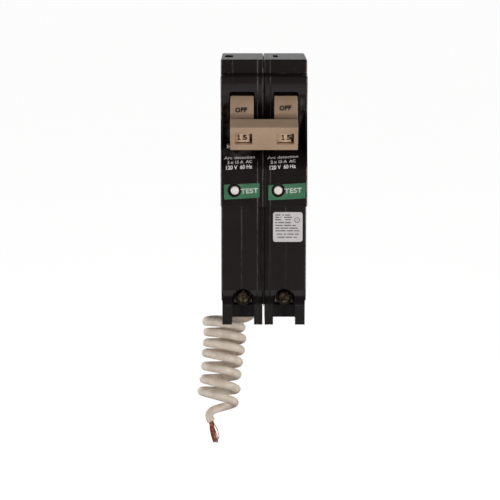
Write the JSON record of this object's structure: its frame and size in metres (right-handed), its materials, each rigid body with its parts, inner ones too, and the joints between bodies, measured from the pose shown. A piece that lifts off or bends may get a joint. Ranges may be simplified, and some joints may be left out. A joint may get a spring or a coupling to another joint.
{
  "type": "two-pole arc-fault circuit breaker",
  "caption": "Two-pole plug-on arc-fault circuit breaker with a handle tie, round test buttons, screw terminals at the load end and a coiled neutral pigtail.",
  "frame": {"origin": "On the back plane that faces the panel, midway between the two poles and midway along the case's length; the plug-on jaws and the rail hook hold the breaker there.", "axes": "+Z towards the line end (up), -Y out of the panel towards the operator, +X to the operator's right across the poles."},
  "size_m": [0.0501, 0.0668, 0.1829],
  "materials": {
    "case_black": "moulded black phenolic, semi-gloss with fine orange peel",
    "handle_tan": "moulded tan thermoset, satin",
    "copper": "bare copper, dulled",
    "steel": "zinc plated steel",
    "brass": "brass, dulled",
    "tinned": "tin plated",
    "button_white": "moulded white nylon",
    "label_green": "printed green film",
    "label_white": "printed white film",
    "board_green": "solder mask over glass laminate",
    "fibre": "brown insulating fibre and winding tape",
    "pvc_white": "off-white PVC insulation, satin"
  },
  "bodies": {
    "breaker_body": {"outer_case_left": "case_black", "mid_frame_left": "case_black", "inner_cover_left": "case_black", "line_jaw_left": "copper", "arc_chute_left": "steel", "bimetal_left": "steel", "magnet_yoke_left": "steel", "braid_left": "copper", "load_strap_left": "copper", "circuit_board_left": "board_green", "trip_solenoid_left": "fibre", "current_sensor_left": "fibre", "test_contact_left": "copper", "test_label_left": "label_green", "outer_case_right": "case_black", "mid_frame_right": "case_black", "inner_cover_right": "case_black", "line_jaw_right": "copper", "arc_chute_right": "steel", "bimetal_right": "steel", "magnet_yoke_right": "steel", "braid_right": "copper", "load_strap_right": "copper", "circuit_board_right": "board_green", "trip_solenoid_right": "fibre", "current_sensor_right": "fibre", "test_contact_right": "copper", "test_label_right": "label_green", "rating_label": "label_white", "rivet_1": "steel", "rivet_2": "steel", "rivet_3": "steel", "rivet_4": "steel", "pigtail_lead": "pvc_white", "pigtail_coil": "pvc_white", "pigtail_tail": "pvc_white", "pigtail_strands": "copper"},
    "toggle": {"handle_left": "handle_tan", "handle_right": "handle_tan", "handle_tie": "handle_tan", "tie_pin": "steel"},
    "trip_bar": {"trip_bar": "fibre"},
    "contact_arm_left": {"contact_arm_left": "copper", "toggle_spring_left": "steel"},
    "cradle_left": {"cradle_left": "steel"},
    "armature_left": {"armature_left": "steel"},
    "plunger_left": {"solenoid_plunger_left": "steel"},
    "button_left": {"test_button_left": "button_white"},
    "screw_left": {"terminal_screw_left": "brass"},
    "lug_left": {"load_lug_left": "tinned"},
    "contact_arm_right": {"contact_arm_right": "copper", "toggle_spring_right": "steel"},
    "cradle_right": {"cradle_right": "steel"},
    "armature_right": {"armature_right": "steel"},
    "plunger_right": {"solenoid_plunger_right": "steel"},
    "button_right": {"test_button_right": "button_white"},
    "screw_right": {"terminal_screw_right": "brass"},
    "lug_right": {"load_lug_right": "tinned"}
  },
  "joints": [
    {"name": "handle_turn", "type": "hinge", "parent": "breaker_body", "child": "toggle", "pos_m": [0, -0.0454, 0.03745], "axis": [-1, 0, 0], "range_deg": [0, 52]},
    {"name": "trip_turn", "type": "hinge", "parent": "breaker_body", "child": "trip_bar", "pos_m": [0, -0.03, 0.008], "axis": [1, 0, 0], "range_deg": [0, 12]},
    {"name": "contact_arm_left_turn", "type": "hinge", "parent": "breaker_body", "child": "contact_arm_left", "pos_m": [-0.0095, -0.028, 0.034], "axis": [-1, 0, 0], "range_deg": [0, 18]},
    {"name": "cradle_left_turn", "type": "hinge", "parent": "breaker_body", "child": "cradle_left", "pos_m": [-0.01365, -0.024, 0.026], "axis": [-1, 0, 0], "range_deg": [0, 18]},
    {"name": "armature_left_turn", "type": "hinge", "parent": "breaker_body", "child": "armature_left", "pos_m": [-0.0088, -0.0168, 0.024], "axis": [1, 0, 0], "range_deg": [0, 5]},
    {"name": "plunger_left_slide", "type": "slide", "parent": "breaker_body", "child": "plunger_left", "axis": [0, 0, 1], "range_m": [0, 0.0012], "stiffness_N_per_m": 60, "springref_m": -0.0008},
    {"name": "test_button_left_press", "type": "slide", "parent": "breaker_body", "child": "button_left", "axis": [0, 1, 0], "range_m": [0, 0.0015], "stiffness_N_per_m": 800, "springref_m": -0.0006},
    {"name": "terminal_screw_left_turn", "type": "hinge", "parent": "breaker_body", "child": "screw_left", "pos_m": [-0.00925, 0, -0.0474], "axis": [0, 1, 0], "range_deg": [0, 720]},
    {"name": "load_lug_left_slide", "type": "slide", "parent": "breaker_body", "child": "lug_left", "axis": [0, -1, 0], "range_m": [0, 0.0016]},
    {"name": "contact_arm_right_turn", "type": "hinge", "parent": "breaker_body", "child": "contact_arm_right", "pos_m": [0.0095, -0.028, 0.034], "axis": [-1, 0, 0], "range_deg": [0, 18]},
    {"name": "cradle_right_turn", "type": "hinge", "parent": "breaker_body", "child": "cradle_right", "pos_m": [0.01365, -0.024, 0.026], "axis": [-1, 0, 0], "range_deg": [0, 18]},
    {"name": "armature_right_turn", "type": "hinge", "parent": "breaker_body", "child": "armature_right", "pos_m": [0.0088, -0.0168, 0.024], "axis": [1, 0, 0], "range_deg": [0, 5]},
    {"name": "plunger_right_slide", "type": "slide", "parent": "breaker_body", "child": "plunger_right", "axis": [0, 0, 1], "range_m": [0, 0.0012]},
    {"name": "test_button_right_press", "type": "slide", "parent": "breaker_body", "child": "button_right", "axis": [0, 1, 0], "range_m": [0, 0.0015], "stiffness_N_per_m": 800, "springref_m": -0.0006},
    {"name": "terminal_screw_right_turn", "type": "hinge", "parent": "breaker_body", "child": "screw_right", "pos_m": [0.00925, 0, -0.0474], "axis": [0, 1, 0], "range_deg": [0, 720]},
    {"name": "load_lug_right_slide", "type": "slide", "parent": "breaker_body", "child": "lug_right", "axis": [0, -1, 0], "range_m": [0, 0.0016]}
  ],
  "couplings": [
    {"joint": "trip_turn", "follows": "plunger_left_slide", "rad_per_m": 174.5},
    {"joint": "contact_arm_left_turn", "follows": "handle_turn", "ratio": 0.346},
    {"joint": "cradle_left_turn", "follows": "plunger_left_slide", "rad_per_m": 261.7},
    {"joint": "armature_left_turn", "follows": "plunger_left_slide", "rad_per_m": 72.7},
    {"joint": "terminal_screw_left_turn", "follows": "load_lug_left_slide", "rad_per_m": 7850},
    {"joint": "contact_arm_right_turn", "follows": "handle_turn", "ratio": 0.346},
    {"joint": "cradle_right_turn", "follows": "plunger_left_slide", "rad_per_m": 261.7},
    {"joint": "armature_right_turn", "follows": "plunger_left_slide", "rad_per_m": 72.7},
    {"joint": "plunger_right_slide", "follows": "plunger_left_slide", "ratio": 1},
    {"joint": "terminal_screw_right_turn", "follows": "load_lug_right_slide", "rad_per_m": 7850}
  ]
}
